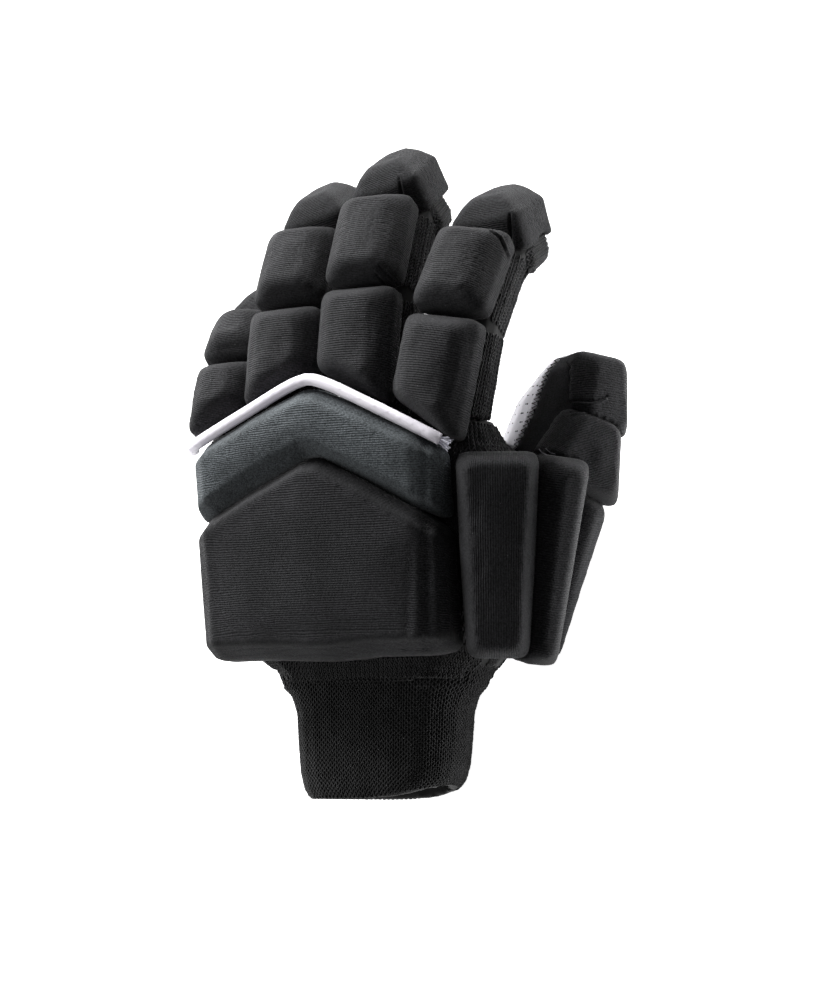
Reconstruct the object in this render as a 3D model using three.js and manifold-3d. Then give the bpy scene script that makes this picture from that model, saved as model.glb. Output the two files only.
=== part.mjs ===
// Indoor hockey glove for the left hand, padded on the back, lying palm down.
// Millimetres. X points to the thumb, Y to the fingertips and Z up from the surface it lies on.

import * as THREE from "three";
import { mergeVertices } from "three/addons/utils/BufferGeometryUtils.js";
import Module from "manifold-3d";

const wasm = await Module();
wasm.setup();

// Walls and clearances
const wall = 2;
const cuffWall = 3;
const seamGap = 0.3;
const padGap = 0.4;
const curvedPadGap = 0.7;

// Back of the hand: it rises to the knuckles and falls away to the little finger
const backAtWrist = 45;
const backRise = 0.165;
const archCentre = 15;
const archCurve = 0.00107;

// Hand body, one row for each section across the hand
const handSections = [
  { y: -8, left: -38, right: 42, low: 0, leftRound: 21, rightRound: 21, palmRound: 19 },
  { y: 2, left: -50, right: 50, low: 0, leftRound: 18, rightRound: 24, palmRound: 16 },
  { y: 16, left: -56, right: 63, low: 0, leftRound: 15, rightRound: 30, palmRound: 14 },
  { y: 36, left: -58, right: 72, low: 0, leftRound: 15, rightRound: 34, palmRound: 12 },
  { y: 56, left: -60, right: 77, low: 7, leftRound: 15, rightRound: 32, palmRound: 10 },
  { y: 72, left: -61, right: 68, low: 20, leftRound: 14, rightRound: 23, palmRound: 8 },
  { y: 77.5, left: -61, right: 58.5, low: 26.5, leftRound: 13, rightRound: 14, palmRound: 7 },
  { y: 86, left: -61, right: 56, low: 36, leftRound: 11, rightRound: 11, palmRound: 5 },
];
const fingerRoot = handSections[handSections.length - 1].y;

// Height of the seam between the palm and the back, which follows the edge of the palm
const handSeam = [
  { y: -30, z: 5 },
  { y: 40, z: 5 },
  { y: 58, z: 12 },
  { y: 72, z: 24.5 },
  { y: 86, z: 39.5 },
  { y: 100, z: 54 },
];

// Fingers: root, yaw to the thumb, the length and pitch of each of the three bones, the turn of
// the tip about its length, and how far the pads and the tip pad sit from the finger's middle
const fingers = [
  {
    name: "little", x: -49, yaw: -2, width: 22, height: 20, padWidth: 25, padShift: 0,
    lengths: [27, 25, 20], pitches: [-20, -38, -80], tipTurn: 0, tipShift: 1.5,
  },
  {
    name: "ring", x: -21.5, yaw: -1.5, width: 25, height: 21, padWidth: 29.5, padShift: 0,
    lengths: [46, 35, 28], pitches: [-11, -26, -61], tipTurn: 12, tipShift: 3,
  },
  {
    name: "middle", x: 10.5, yaw: 0, width: 26, height: 21, padWidth: 30.5, padShift: -1,
    lengths: [51, 39, 29], pitches: [-9, -23, -60], tipTurn: 12, tipShift: 1.2,
  },
  {
    name: "index", x: 43, yaw: 10, width: 25, height: 19, padWidth: 30, padShift: -3,
    lengths: [37, 36, 30], pitches: [-5, -24, -65], tipTurn: 14, tipShift: 1.5,
  },
];
const sleeveInside = 4;
const sleeveSides = 12;
const sleeveRoundness = 2 / 3;
const bendSpare = 3;
const fingerSeam = 0.86;

// The closed end of a finger: how far each ring is from the end of the bone, and its size there
const tipRings = [
  { fromEnd: 8, part: 0.86 },
  { fromEnd: 2.5, part: 0.67 },
  { fromEnd: -0.5, part: 0.39 },
];

// Foam thicknesses and chamfers
const fingerFoam = 15;
const bandFoam = 16;
const blockFoam = 18;
const foamChamfer = 7.5;
const wideChamfer = 5.5;
const padCorner = 4;
const padCornerSteps = 2;
const padEndGap = 0.7;

// Pads on a finger, one row for each bone: widths are parts of the finger's pad width, and wrap
// is how far a pad reaches down the finger's sides
const fingerPads = [
  { name: "base", widths: [1, 1], chamfers: [5, 5], overrun: 0, wrap: 0 },
  { name: "middle", widths: [1, 0.98], chamfers: [5, 5], overrun: 0, wrap: 0 },
  { name: "tip", widths: [1, 0.82], chamfers: [6, 5], overrun: 1.5, wrap: 6.5 },
];

// Knuckle chevron: the front edges of the grey band and of the block behind it
const bandFront = { left: [-60, 78], apex: [-5, 100.5], right: [46, 75.5] };
const blockFront = { left: [-60, 49.5], apex: [-5, 75], right: [46, 46] };
const blockRear = 0;
const bandGap = 1;
const widePadGap = 0.8;
const apexHalfWidth = 3;
const apexBlunting = 1.2;

// Piping between the band and the fingers
const pipingDiameter = 4.8;
const pipingHeight = 10;
const pipingRoom = 5.5;
const pipingSides = 8;
const pipingSteps = 36;

// Thumb, one row for each section across it, from inside the hand to the tip
const thumbSections = [
  { y: 52, left: 40, right: 74, low: 6, high: 40 },
  { y: 66, left: 46, right: 83, low: 4, high: 37 },
  { y: 82, left: 51, right: 88, low: 2, high: 32 },
  { y: 96, left: 56, right: 90, low: -0.5, high: 28 },
  { y: 107, left: 65, right: 90.5, low: -0.5, high: 24.5 },
  { y: 112, left: 69, right: 89, low: 2, high: 20.5 },
  { y: 114, left: 75, right: 85, low: 6, high: 15 },
];
const thumbSides = 16;
const thumbRoundness = 0.8;

// Where the seam between the thumb's panel and its leather runs, and how it slants
const thumbSeam = [
  { y: 40, x: 49, z: 41 },
  { y: 80, x: 61.8, z: 32.6 },
  { y: 92, x: 68, z: 28.4 },
  { y: 104, x: 73.3, z: 21.6 },
  { y: 120, x: 78, z: 14.5 },
];
const thumbSeamSlant = 42;

// Long pads on the thumb side: from the wrist end to the fingertip end, turned about the length,
// with a chamfer for each end and one for both sides
const sidePads = [
  {
    name: "side_pad_front", from: [58.5, -1, 42], to: [62.5, 73, 51],
    roll: 24, widths: [22, 30], foam: 15, ends: [4, 4], side: 3.5,
  },
  {
    name: "side_pad_rear", from: [66, -2.5, 31], to: [80.5, 72, 36.5],
    roll: 50, widths: [15, 19], foam: 15, ends: [4, 4], side: 5.5,
  },
  {
    name: "thumb_base_pad", from: [58.5, 1, 12.5], to: [80, 61, 16.5],
    roll: 80, widths: [12, 19], foam: 12, ends: [4, 4], side: 5.5,
  },
  {
    name: "thumb_middle_pad", from: [78.2, 61, 23], to: [85.3, 88.5, 18.8],
    roll: 54, widths: [41, 25], foam: 11, ends: [4, 1.5], side: 5.5,
  },
  {
    name: "thumb_tip_pad", from: [85.5, 82, 17], to: [86, 112, 14.5],
    roll: 57, widths: [27, 23], foam: 11, ends: [1.5, 3], side: 5.5,
  },
];
const sidePadSink = 5;
const sidePadClearSink = 8;

// Cuff, one row for each section from its open end to the hand: the part of its full width, and
// how far the thumb side is set back; its height tapers less
const cuffWidth = 67;
const cuffHeight = 43;
const cuffCentre = 2;
const cuffSides = 24;
const cuffRoundness = 0.76;
const cuffPressed = 0.5;
const heightTaper = 0.4;
const cuffSections = [
  { y: -52.5, part: 0.78, back: 5 },
  { y: -51.5, part: 0.86, back: 5 },
  { y: -48.5, part: 0.92, back: 4.5 },
  { y: -42, part: 0.97, back: 3 },
  { y: -30, part: 1, back: 1 },
  { y: -20, part: 1.02, back: 0 },
  { y: -13, part: 1.09, back: 0 },
  { y: handSections[0].y - seamGap, part: 1.2, back: 0 },
];

// Colours and surfaces
const looks = {
  foam: { color: 0x242425, roughness: 0.85, metalness: 0 },
  grey: { color: 0x4c5559, roughness: 0.85, metalness: 0 },
  knit: { color: 0x1c1c1d, roughness: 0.95, metalness: 0 },
  panel: { color: 0x222224, roughness: 0.7, metalness: 0 },
  leather: { color: 0xe4e2e6, roughness: 0.6, metalness: 0 },
  piping: { color: 0xf1eff4, roughness: 0.5, metalness: 0 },
};

const degree = Math.PI / 180;
const far = 400;
const glove = new THREE.Group();

// Points, lofts and solids

function mix(a, b, t) {
  return a + (b - a) * t;
}

function move(point, frame, across, along, out) {
  return point.clone()
    .addScaledVector(frame.across, across)
    .addScaledVector(frame.axis, along)
    .addScaledVector(frame.out, out);
}

// A closed solid through rings of points, all with the same count
function loft(rings) {
  const count = rings[0].length;
  const last = (rings.length - 1) * count;
  const faces = [];
  for (let row = 0; row < rings.length - 1; row += 1) {
    for (let i = 0; i < count; i += 1) {
      const a = row * count + i;
      const b = row * count + ((i + 1) % count);
      faces.push(a, b, b + count, a, b + count, a + count);
    }
  }
  for (let i = 1; i < count - 1; i += 1) {
    faces.push(0, i + 1, i);
    faces.push(last, last + i, last + i + 1);
  }
  const geometry = new THREE.BufferGeometry().setFromPoints(rings.flat());
  geometry.setIndex(faces);
  return solid(turnOutwards(geometry));
}

function turnOutwards(geometry) {
  const position = geometry.attributes.position;
  const index = geometry.index.array;
  const corner = (i) => new THREE.Vector3().fromBufferAttribute(position, index[i]);
  let volume = 0;
  for (let i = 0; i < index.length; i += 3) {
    volume += corner(i).dot(corner(i + 1).cross(corner(i + 2)));
  }
  if (volume < 0) {
    for (let i = 0; i < index.length; i += 3) {
      [index[i], index[i + 1]] = [index[i + 1], index[i]];
    }
  }
  return geometry;
}

function solid(geometry) {
  geometry.deleteAttribute("normal");
  geometry.deleteAttribute("uv");
  const merged = mergeVertices(geometry, 1e-4);
  return new wasm.Manifold(new wasm.Mesh({
    numProp: 3,
    vertProperties: new Float32Array(merged.attributes.position.array),
    triVerts: new Uint32Array(merged.index.array),
  }));
}

function add(name, body, look) {
  const mesh = body.getMesh();
  const geometry = new THREE.BufferGeometry();
  geometry.setAttribute("position", new THREE.BufferAttribute(mesh.vertProperties, 3));
  geometry.setIndex(new THREE.BufferAttribute(mesh.triVerts, 1));
  geometry.computeVertexNormals();
  const piece = new THREE.Mesh(geometry, new THREE.MeshStandardMaterial(look));
  piece.name = name;
  glove.add(piece);
}

// Everything above the surface that the glove lies on
function spaceAbove() {
  const box = new THREE.BoxGeometry(far, far, far);
  box.translate(0, 0, far / 2);
  return solid(box);
}

// Everything in front of the knuckles and above the surface that the glove lies on
function fingerSpace() {
  const box = new THREE.BoxGeometry(far, far, far);
  box.translate(0, fingerRoot + seamGap + far / 2, far / 2);
  return solid(box);
}

// Hand body

function back(x, y) {
  return backAtWrist + backRise * y - archCurve * (x - archCentre) ** 2;
}

// How far a rounded corner falls, at a distance from the side
function cornerFall(distance, radius) {
  const inside = Math.max(radius - distance, 0);
  return radius - Math.sqrt(Math.max(radius ** 2 - inside ** 2, 0));
}

const acrossHand = [0, 0.02, 0.07, 0.15, 0.28, 0.42, 0.56, 0.7, 0.8, 0.88, 0.95, 0.985, 1];

function handRing(row, grow, y) {
  const left = row.left - grow;
  const right = row.right + grow;
  const palmRound = row.palmRound + grow;
  const top = [];
  const bottom = [];
  for (const part of acrossHand) {
    const x = mix(left, right, part);
    const backFall = Math.max(
      cornerFall(x - left, row.leftRound + grow),
      cornerFall(right - x, row.rightRound + grow),
    );
    const palmFall = Math.max(cornerFall(x - left, palmRound), cornerFall(right - x, palmRound));
    top.push(new THREE.Vector3(x, y, back(x, y) + grow - backFall));
    bottom.unshift(new THREE.Vector3(x, y, row.low - grow + palmFall));
  }
  return [...top, ...bottom];
}

// The palm side of the hand: everything below the seam
function handPalmSide(gap) {
  return loft(handSeam.map(({ y, z }) => [
    new THREE.Vector3(-far, y, z - gap / 2),
    new THREE.Vector3(far, y, z - gap / 2),
    new THREE.Vector3(far, y, -far),
    new THREE.Vector3(-far, y, -far),
  ]));
}

function handSolid(grow, rearReach, frontReach) {
  const last = handSections.length - 1;
  return loft(handSections.map((row, i) => {
    const reach = (i === 0 ? -rearReach : 0) + (i === last ? frontReach : 0);
    return handRing(row, grow, row.y + reach);
  }));
}

// Finger sleeves

function boneAxis(yaw, pitch) {
  return new THREE.Vector3(
    Math.sin(yaw) * Math.cos(pitch),
    Math.cos(yaw) * Math.cos(pitch),
    Math.sin(pitch),
  );
}

// A frame on the back of a finger: a point, and the ways along, across and out
function fingerFrame(finger, bone, along) {
  const yaw = finger.yaw * degree;
  const point = new THREE.Vector3(finger.x, fingerRoot, back(finger.x, fingerRoot));
  for (let i = 0; i < bone; i += 1) {
    point.addScaledVector(boneAxis(yaw, finger.pitches[i] * degree), finger.lengths[i]);
  }
  const axis = boneAxis(yaw, finger.pitches[bone] * degree);
  point.addScaledVector(axis, along);
  const across = new THREE.Vector3(Math.cos(yaw), -Math.sin(yaw), 0);
  if (bone === 2) {
    across.applyAxisAngle(axis, -finger.tipTurn * degree);
  }
  const out = new THREE.Vector3().crossVectors(across, axis).normalize();
  return { point, axis, across, out };
}

// The frame that a sleeve starts from: inside the hand, straight behind the finger's root
function rootFrame(finger) {
  const frame = fingerFrame(finger, 0, 0);
  frame.point.y -= sleeveInside;
  frame.point.z -= sleeveInside * backRise;
  return frame;
}

// The room that each joint's bend needs on both its bones, so that the palm side isn't pinched
function bendRooms(finger) {
  return [0, 1].map((joint) => {
    const turn = (finger.pitches[joint] - finger.pitches[joint + 1]) * degree;
    return (finger.height + bendSpare) * Math.tan(turn / 2);
  });
}

// The frames that shape a finger, from its root to the last joint, with its size at each
function jointFrames(finger) {
  const [first, second] = finger.lengths;
  const [firstBend, secondBend] = bendRooms(finger);
  return [
    { frame: rootFrame(finger), part: 1 },
    { frame: fingerFrame(finger, 0, first - firstBend), part: 1 },
    { frame: fingerFrame(finger, 1, firstBend), part: 0.99 },
    { frame: fingerFrame(finger, 1, second - secondBend), part: 0.96 },
    { frame: fingerFrame(finger, 2, secondBend), part: 0.94 },
  ];
}

// A rounded ring with one flat side out, hung below the frame's point
function sleeveRing(frame, width, height, drop) {
  const rounded = (value) => Math.sign(value) * Math.abs(value) ** sleeveRoundness;
  const flat = rounded(Math.cos(Math.PI / sleeveSides));
  const ring = [];
  for (let i = 0; i < sleeveSides; i += 1) {
    const angle = ((i + 0.5) * 2 * Math.PI) / sleeveSides;
    const across = (rounded(Math.cos(angle)) * width) / 2;
    const out = ((rounded(Math.sin(angle)) / flat - 1) * height) / 2 - drop;
    ring.push(move(frame.point, frame, across, 0, out));
  }
  return ring;
}

function sleeveSolid(finger, thickness) {
  const rings = jointFrames(finger).map(({ frame, part }) => sleeveRing(
    frame,
    finger.width * part - 2 * thickness,
    finger.height * part - 2 * thickness,
    thickness,
  ));
  const fullTip = tipRings[0].part;
  for (const { fromEnd, part } of tipRings) {
    const frame = fingerFrame(finger, 2, finger.lengths[2] - fromEnd - thickness);
    const taper = part < fullTip ? (finger.height * (1 - part)) / 2 : 0;
    rings.push(sleeveRing(
      frame,
      finger.width * part - 2 * thickness,
      finger.height * part - 2 * thickness,
      thickness + taper,
    ));
  }
  return loft(rings);
}

// The palm side of a finger: everything from the seam line down
function fingerPalmSide(finger, gap) {
  const seam = finger.height * fingerSeam + gap / 2;
  const low = finger.height + bendSpare;
  const frames = jointFrames(finger).map(({ frame }) => frame);
  frames[0].point.y -= bendSpare;
  frames.push(fingerFrame(finger, 2, finger.lengths[2] + bendSpare));
  return loft(frames.map((frame) => [
    move(frame.point, frame, -finger.width, 0, -seam),
    move(frame.point, frame, finger.width, 0, -seam),
    move(frame.point, frame, finger.width, 0, -low),
    move(frame.point, frame, -finger.width, 0, -low),
  ]));
}

// Foam pads

function insetCorners(corners, insets) {
  const count = corners.length;
  const lines = corners.map((corner, i) => {
    const way = new THREE.Vector2().subVectors(corners[(i + 1) % count], corner).normalize();
    const inward = new THREE.Vector2(-way.y, way.x);
    return { start: corner.clone().addScaledVector(inward, insets[i]), way };
  });
  return lines.map((line, i) => {
    const before = lines[(i + count - 1) % count];
    const gap = new THREE.Vector2().subVectors(line.start, before.start);
    const along = gap.cross(line.way) / before.way.cross(line.way);
    return before.start.clone().addScaledVector(before.way, along);
  });
}

function roundCorners(corners) {
  const count = corners.length;
  return corners.flatMap((corner, i) => {
    const ends = [corners[(i + count - 1) % count], corners[(i + 1) % count]].map((other) => {
      const part = Math.min(padCorner / corner.distanceTo(other), 0.45);
      return corner.clone().lerp(other, part);
    });
    return new THREE.QuadraticBezierCurve(ends[0], corner, ends[1]).getPoints(padCornerSteps);
  });
}

// A foam pad on a frame: corners are [across, along] in order, and chamfers one for each edge
function padSolid(frame, corners, foam, chamfers, base) {
  const levels = [
    { height: base, part: 0 },
    { height: foam - foamChamfer, part: 0 },
    { height: foam - foamChamfer * 0.33, part: 0.56 },
    { height: foam, part: 1 },
  ];
  const outline = corners.map(([across, along]) => new THREE.Vector2(across, along));
  return loft(levels.map(({ height, part }) => {
    const inset = insetCorners(outline, chamfers.map((chamfer) => chamfer * part));
    return roundCorners(inset).map((point) => move(frame.point, frame, point.x, point.y, height));
  }));
}

// The chevron's edge at a place across the hand
function chevron(line, x) {
  const [leftX, leftY] = line.left;
  const [apexX, apexY] = line.apex;
  const [rightX, rightY] = line.right;
  if (x < apexX) {
    return mix(leftY, apexY, (x - leftX) / (apexX - leftX));
  }
  return mix(apexY, rightY, (x - apexX) / (rightX - apexX));
}

// A wide pad across the hand: sections from left to right, bent to the back of the hand
function widePad(front, rear, foam) {
  const [left] = front.left;
  const [apex] = front.apex;
  const [right] = front.right;
  const stations = [
    { x: left, part: 0.4, blunt: 0, corner: 3.5 },
    { x: left + 2.5, part: 0.75, blunt: 0, corner: 1.1 },
    { x: left + 8, part: 1, blunt: 0, corner: 0 },
    { x: mix(left, apex, 0.5), part: 1, blunt: 0, corner: 0 },
    { x: apex - apexHalfWidth, part: 1, blunt: apexBlunting, corner: 0 },
    { x: apex + apexHalfWidth, part: 1, blunt: apexBlunting, corner: 0 },
    { x: mix(apex, right, 0.4), part: 1, blunt: 0, corner: 0 },
    { x: right - 10, part: 1, blunt: 0, corner: 0 },
    { x: right - 2.5, part: 0.84, blunt: 0, corner: 1.1 },
    { x: right, part: 0.6, blunt: 0, corner: 3.5 },
  ];
  return loft(stations.map(({ x, part, blunt, corner }) => {
    const near = rear(x) - blunt + corner;
    const end = chevron(front, x) - blunt - corner;
    const height = foam * part;
    const shoulder = height - Math.min(foamChamfer, height / 2);
    const inset = wideChamfer * part;
    return [
      [near, widePadGap], [near, shoulder], [near + inset, height],
      [end - inset, height], [end, shoulder], [end, widePadGap],
    ].map(([y, lift]) => new THREE.Vector3(x, y, back(x, y) + lift));
  }));
}

// Thumb

function thumbSolid(grow, tipReach) {
  const last = thumbSections.length - 1;
  const rounded = (value) => Math.sign(value) * Math.abs(value) ** thumbRoundness;
  return loft(thumbSections.map((row, i) => {
    const halfWidth = (row.right - row.left) / 2 + grow;
    const halfHeight = (row.high - row.low) / 2 + grow;
    const ring = [];
    for (let k = 0; k < thumbSides; k += 1) {
      const angle = ((k + 0.5) * 2 * Math.PI) / thumbSides;
      ring.push(new THREE.Vector3(
        mix(row.left, row.right, 0.5) + rounded(Math.cos(angle)) * halfWidth,
        row.y + (i === last ? tipReach : 0),
        mix(row.low, row.high, 0.5) + rounded(Math.sin(angle)) * halfHeight,
      ));
    }
    return ring;
  }));
}

// The palm side of the thumb: everything beyond the seam, away from the pads
function thumbPalmSide(gap) {
  const reach = 80;
  const slant = thumbSeamSlant * degree;
  const corners = [[-reach, 0], [reach, 0], [reach, reach], [-reach, reach]];
  return loft(thumbSeam.map((row) => corners.map(([along, depth]) => {
    const down = depth + gap / 2;
    return new THREE.Vector3(
      row.x + Math.cos(slant) * along - Math.sin(slant) * down,
      row.y,
      row.z - Math.sin(slant) * along - Math.cos(slant) * down,
    );
  })));
}

// Piping: a round cord in the groove between the band and the fingers, turned down at its left end
function pipingSolid() {
  const [left] = bandFront.left;
  const [apex] = bandFront.apex;
  const [right] = bandFront.right;
  const places = [
    { x: left - 3.2, lift: 3, behind: 0 },
    { x: left - 1.5, lift: 7.5, behind: 0 },
    { x: left + 3, lift: pipingHeight, behind: 0 },
    { x: mix(left, apex, 0.5), lift: pipingHeight, behind: 0 },
    { x: apex - 7, lift: pipingHeight, behind: 0 },
    { x: apex, lift: pipingHeight, behind: 1.4 },
    { x: apex + 7, lift: pipingHeight, behind: 0 },
    { x: mix(apex, right, 0.5), lift: pipingHeight, behind: 0 },
    { x: right + 1, lift: pipingHeight, behind: 0.9 },
  ];
  const path = new THREE.CatmullRomCurve3(places.map(({ x, lift, behind }) => {
    const y = chevron(bandFront, Math.max(x, left)) + pipingRoom / 2 - behind;
    return new THREE.Vector3(x, y, back(x, y) + lift);
  }));
  const outline = new THREE.Shape();
  outline.absarc(0, 0, pipingDiameter / 2, 0, 2 * Math.PI);
  return solid(new THREE.ExtrudeGeometry(outline, {
    steps: pipingSteps, curveSegments: pipingSides / 2, extrudePath: path, bevelEnabled: false,
  }));
}

// Side pads

function sidePadSolid(pad, grow, sink) {
  const from = new THREE.Vector3(...pad.from);
  const to = new THREE.Vector3(...pad.to);
  const length = from.distanceTo(to);
  const axis = to.sub(from).normalize();
  const roll = pad.roll * degree;
  const up = new THREE.Vector3(Math.sin(roll), 0, Math.cos(roll));
  const out = up.addScaledVector(axis, -up.dot(axis)).normalize();
  const across = new THREE.Vector3().crossVectors(axis, out);
  const [rear, front] = pad.widths.map((width) => width / 2 + grow);
  const corners = [
    [-rear, -grow], [rear, -grow], [front, length + grow], [-front, length + grow],
  ];
  const chamfers = [pad.ends[0], pad.side, pad.ends[1], pad.side];
  return padSolid({ point: from, axis, across, out }, corners, pad.foam + grow, chamfers, -sink);
}

// Cuff

function cuffSolid(thickness, reach) {
  const last = cuffSections.length - 1;
  const rounded = (value) => Math.sign(value) * Math.abs(value) ** cuffRoundness;
  return loft(cuffSections.map((row, i) => {
    const y = row.y + (i === last ? reach : 0) - (i === 0 ? reach : 0);
    const ring = [];
    for (let k = 0; k < cuffSides; k += 1) {
      const angle = (k * 2 * Math.PI) / cuffSides;
      const halfWidth = (cuffWidth / 2) * row.part - thickness;
      const heightPart = Math.min(mix(1, row.part, heightTaper), 1);
      const halfHeight = (cuffHeight / 2) * heightPart - thickness;
      const x = cuffCentre + rounded(Math.cos(angle)) * halfWidth;
      const z = cuffHeight / 2 - cuffPressed + rounded(Math.sin(angle)) * halfHeight;
      const setBack = row.back * Math.max(Math.cos(angle), 0) ** 2;
      ring.push(new THREE.Vector3(x, y + setBack, z));
    }
    return ring;
  }));
}

// Hand: palm leather below, knit back above, with holes into the fingers and the thumb

const handOuter = handSolid(0, 0, 0);
const handInner = handSolid(-wall, padCorner, -wall);
const thumbOuter = thumbSolid(0, 0);
const thumbInner = thumbSolid(-wall, -wall);
const sleeves = fingers.map((finger) => ({
  finger,
  outer: sleeveSolid(finger, 0),
  inner: sleeveSolid(finger, wall),
}));

let handShell = handOuter.subtract(handInner).subtract(thumbInner);
for (const { inner } of sleeves) {
  handShell = handShell.subtract(inner);
}
add("palm_leather", handShell.intersect(handPalmSide(seamGap)), looks.leather);
add("back_liner", handShell.subtract(handPalmSide(-seamGap)), looks.knit);

// Fingers: leather on the palm side, a knit gusset on the back and sides, and three pads

for (const { finger, outer, inner } of sleeves) {
  const shell = outer.subtract(inner).intersect(fingerSpace());
  add(`${finger.name}_leather`, shell.intersect(fingerPalmSide(finger, seamGap)), looks.leather);
  add(`${finger.name}_gusset`, shell.subtract(fingerPalmSide(finger, -seamGap)), looks.knit);
  const half = finger.padWidth / 2;
  fingerPads.forEach((pad, bone) => {
    const [startWidth, stopWidth] = pad.widths.map((part) => part * half);
    const middle = finger.padShift + (pad.name === "tip" ? finger.tipShift : 0);
    const start = [-1, 1].map((side) => {
      const x = finger.x + (middle + side * half) * Math.cos(finger.yaw * degree);
      return bone === 0 ? chevron(bandFront, x) + pipingRoom - fingerRoot : padEndGap;
    });
    const stop = finger.lengths[bone] - padEndGap + pad.overrun;
    const corners = [
      [middle - startWidth, start[0]], [middle + startWidth, start[1]],
      [middle + stopWidth, stop], [middle - stopWidth, stop],
    ];
    const chamfers = [pad.chamfers[0], foamChamfer, pad.chamfers[1], foamChamfer];
    const frame = fingerFrame(finger, bone, 0);
    const foam = padSolid(frame, corners, fingerFoam, chamfers, padGap - pad.wrap);
    const body = pad.wrap > 0 ? foam.subtract(sleeveSolid(finger, -padGap)) : foam;
    add(`${finger.name}_${pad.name}_pad`, body, looks.foam);
  });
}

// Thumb: a cloth panel on the back and leather on the palm side

const handSeamRoom = handSolid(seamGap, seamGap, seamGap);
const thumbShell = thumbOuter.subtract(thumbInner).subtract(handSeamRoom).intersect(spaceAbove());
add("thumb_leather", thumbShell.intersect(thumbPalmSide(seamGap)), looks.leather);
add("thumb_panel", thumbShell.subtract(thumbPalmSide(-seamGap)), looks.panel);

// Pads and piping on the back of the hand

const bandRear = (x) => chevron(blockFront, x) + bandGap;
add("knuckle_band", widePad(bandFront, bandRear, bandFoam), looks.grey);
add("wrist_block", widePad(blockFront, () => blockRear, blockFoam), looks.foam);
add("knuckle_piping", pipingSolid(), looks.piping);

// Each side pad follows the hand and thumb under it, and gives way to the pads before it
const handPadRoom = handSolid(curvedPadGap, curvedPadGap, curvedPadGap);
const thumbPadRoom = thumbSolid(curvedPadGap, curvedPadGap);
const laid = [];
for (const pad of sidePads) {
  let body = sidePadSolid(pad, 0, sidePadSink).subtract(handPadRoom).subtract(thumbPadRoom);
  for (const earlier of laid) {
    body = body.subtract(earlier);
  }
  laid.push(sidePadSolid(pad, padGap, sidePadClearSink));
  add(pad.name, body, looks.foam);
}

// The cuff is flat where it lies
const cuffShell = cuffSolid(0, 0).subtract(cuffSolid(cuffWall, 1));
add("knit_cuff", cuffShell.intersect(spaceAbove()), looks.knit);

// The origin is under the middle of the glove, on the surface it lies on
const bounds = new THREE.Box3().setFromObject(glove);
const centre = bounds.getCenter(new THREE.Vector3());
glove.position.set(-centre.x, -centre.y, -bounds.min.z);

export default glove;
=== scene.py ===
import math
import random

import bmesh
import bpy
import numpy as np
from mathutils import Matrix, Vector
from mathutils.bvhtree import BVHTree
from mathutils.kdtree import KDTree


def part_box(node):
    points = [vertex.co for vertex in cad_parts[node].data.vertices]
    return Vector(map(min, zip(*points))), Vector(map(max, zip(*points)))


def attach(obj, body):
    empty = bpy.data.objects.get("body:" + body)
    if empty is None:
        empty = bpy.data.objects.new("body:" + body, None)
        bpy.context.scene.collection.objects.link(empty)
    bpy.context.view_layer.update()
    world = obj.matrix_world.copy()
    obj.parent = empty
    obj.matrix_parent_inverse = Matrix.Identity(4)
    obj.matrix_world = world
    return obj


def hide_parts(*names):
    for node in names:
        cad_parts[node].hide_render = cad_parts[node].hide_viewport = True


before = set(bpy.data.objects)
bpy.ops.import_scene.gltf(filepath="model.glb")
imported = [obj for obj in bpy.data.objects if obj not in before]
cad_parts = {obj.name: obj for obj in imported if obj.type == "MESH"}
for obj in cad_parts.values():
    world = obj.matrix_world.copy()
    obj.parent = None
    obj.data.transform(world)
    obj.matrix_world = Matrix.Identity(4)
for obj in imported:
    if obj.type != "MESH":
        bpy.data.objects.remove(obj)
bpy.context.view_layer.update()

MM = 0.001
BODY = "root"

# Sizes of the glove, in millimetres, in the pattern's own axes: X to the thumb, Y to the tips
BACK_AT_WRIST = 45
BACK_RISE = 0.165
ARCH_CENTRE = 15
ARCH_CURVE = 0.00107
KNUCKLE_LINE = 86
BLOCK_LEFT_EDGE = -60
CUFF_OPEN_END = -52.5
CUFF_HAND_END = -8.3
CUFF_MIDDLE = (2, 21)
BAND_RIGHT_END = (46, 75.5)

FINGERS = {
    "little": dict(root=-49, yaw=-2, height=20, tip_turn=0,
                   lengths=(27, 25, 20), pitches=(-20, -38, -80)),
    "ring": dict(root=-21.5, yaw=-1.5, height=21, tip_turn=12,
                 lengths=(46, 35, 28), pitches=(-11, -26, -61)),
    "middle": dict(root=10.5, yaw=0, height=21, tip_turn=12,
                   lengths=(51, 39, 29), pitches=(-9, -23, -60)),
    "index": dict(root=43, yaw=10, height=19, tip_turn=14,
                  lengths=(37, 36, 30), pitches=(-5, -24, -65)),
}

# Long pads on the thumb side: wrist end, fingertip end and roll about the length
SIDE_PADS = {
    "side_pad_front": ((58.5, -1, 42), (62.5, 73, 51), 24),
    "side_pad_rear": ((66, -2.5, 31), (80.5, 72, 36.5), 50),
    "thumb_base_pad": ((58.5, 1, 12.5), (80, 61, 16.5), 80),
    "thumb_middle_pad": ((78.2, 61, 23), (85.3, 88.5, 18.8), 54),
    "thumb_tip_pad": ((85.5, 82, 17), (86, 112, 14.5), 57),
}

# Seam between the thumb's panel and its leather, as (y, x, z), and the slant it is seen along
THUMB_SEAM = [(60, 55.4, 36.8), (80, 61.8, 32.6), (92, 68, 28.4), (104, 73.3, 21.6),
              (112, 75.7, 18)]
THUMB_SEAM_SLANT = 42

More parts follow.
